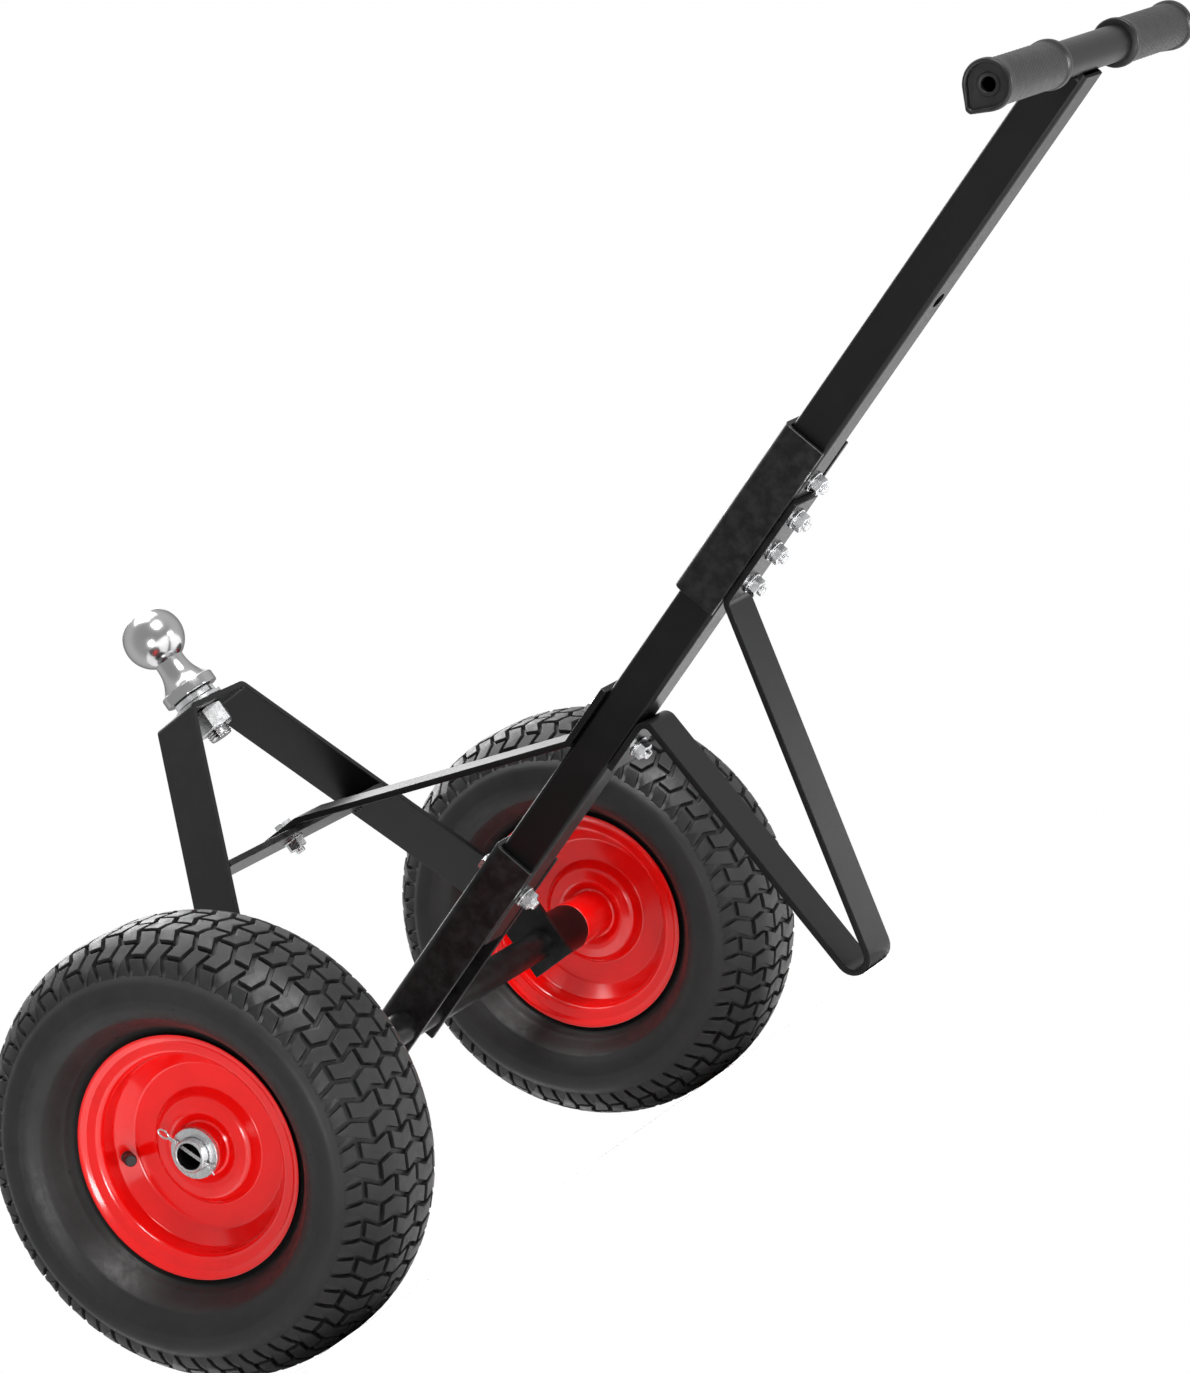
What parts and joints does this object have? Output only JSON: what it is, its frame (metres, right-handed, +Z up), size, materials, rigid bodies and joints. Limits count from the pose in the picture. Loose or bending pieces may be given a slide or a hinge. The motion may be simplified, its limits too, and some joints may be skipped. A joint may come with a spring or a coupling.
{
  "type": "trailer dolly",
  "caption": "Hand trailer dolly: pneumatic wheels on a tube axle, strap A-frame with hitch ball, long T-bar handle and bent strap kickstand.",
  "frame": {"origin": "on the ground under the middle of the dolly's overall length, between the wheels", "axes": "+X runs back from the axle along the handle, +Y to the operator's right as they face the ball, +Z up; the dolly stands on its wheels and kickstand with the hitch ball upright"},
  "size_m": [1.0634, 0.73, 0.54],
  "materials": {
    "black_powder_coat": "satin black powder coat",
    "grip_rubber": "ribbed moulded rubber",
    "chrome": "bright chrome plate",
    "zinc": "bright zinc plate",
    "red_paint": "gloss red enamel",
    "tyre_rubber": "matt tyre rubber",
    "butyl": "smooth butyl rubber",
    "nylon": "natural nylon",
    "cap_plastic": "moulded plastic"
  },
  "bodies": {
    "chassis": {"a_frame": "black_powder_coat", "cross_brace": "black_powder_coat", "long_brace": "black_powder_coat", "kickstand": "black_powder_coat", "handle_lower_tube": "black_powder_coat", "handle_upper_tube": "black_powder_coat", "axle_channel": "black_powder_coat", "splice_channel": "black_powder_coat", "axle_tube": "black_powder_coat", "axle_spacer_left": "black_powder_coat", "axle_spacer_right": "black_powder_coat", "t_bar": "black_powder_coat", "grip_left": "grip_rubber", "grip_right": "grip_rubber", "hitch_ball": "chrome", "ball_flat_washer": "zinc", "ball_spring_washer": "zinc", "ball_nut": "zinc", "splice_bolts": "zinc", "splice_washers": "zinc", "splice_nuts": "zinc", "stand_bolt": "zinc", "stand_washer": "zinc", "stand_nut": "zinc", "channel_bolt": "zinc", "channel_washer": "zinc", "channel_nut": "zinc", "brace_bolt": "zinc", "brace_washer": "zinc", "brace_nut": "zinc", "axle_washer_left": "zinc", "axle_washer_right": "zinc", "cotter_pin_left": "zinc", "cotter_pin_right": "zinc"},
    "wheel_left": {"wheel_left_tyre": "tyre_rubber", "wheel_left_inner_tube": "butyl", "wheel_left_rim_outer": "red_paint", "wheel_left_rim_inner": "red_paint", "wheel_left_hub": "red_paint", "wheel_left_bushing_inner": "nylon", "wheel_left_bushing_outer": "nylon", "wheel_left_valve_stem": "butyl", "wheel_left_valve_cap": "cap_plastic"},
    "wheel_right": {"wheel_right_tyre": "tyre_rubber", "wheel_right_inner_tube": "butyl", "wheel_right_rim_outer": "red_paint", "wheel_right_rim_inner": "red_paint", "wheel_right_hub": "red_paint", "wheel_right_bushing_inner": "nylon", "wheel_right_bushing_outer": "nylon", "wheel_right_valve_stem": "butyl", "wheel_right_valve_cap": "cap_plastic"}
  },
  "joints": [
    {"name": "wheel_left_spin", "type": "hinge", "parent": "chassis", "child": "wheel_left", "pos_m": [-0.36671, -0.305, 0.165], "axis": [0, 1, 0], "continuous": true},
    {"name": "wheel_right_spin", "type": "hinge", "parent": "chassis", "child": "wheel_right", "pos_m": [-0.36671, 0.305, 0.165], "axis": [0, 1, 0], "continuous": true}
  ]
}
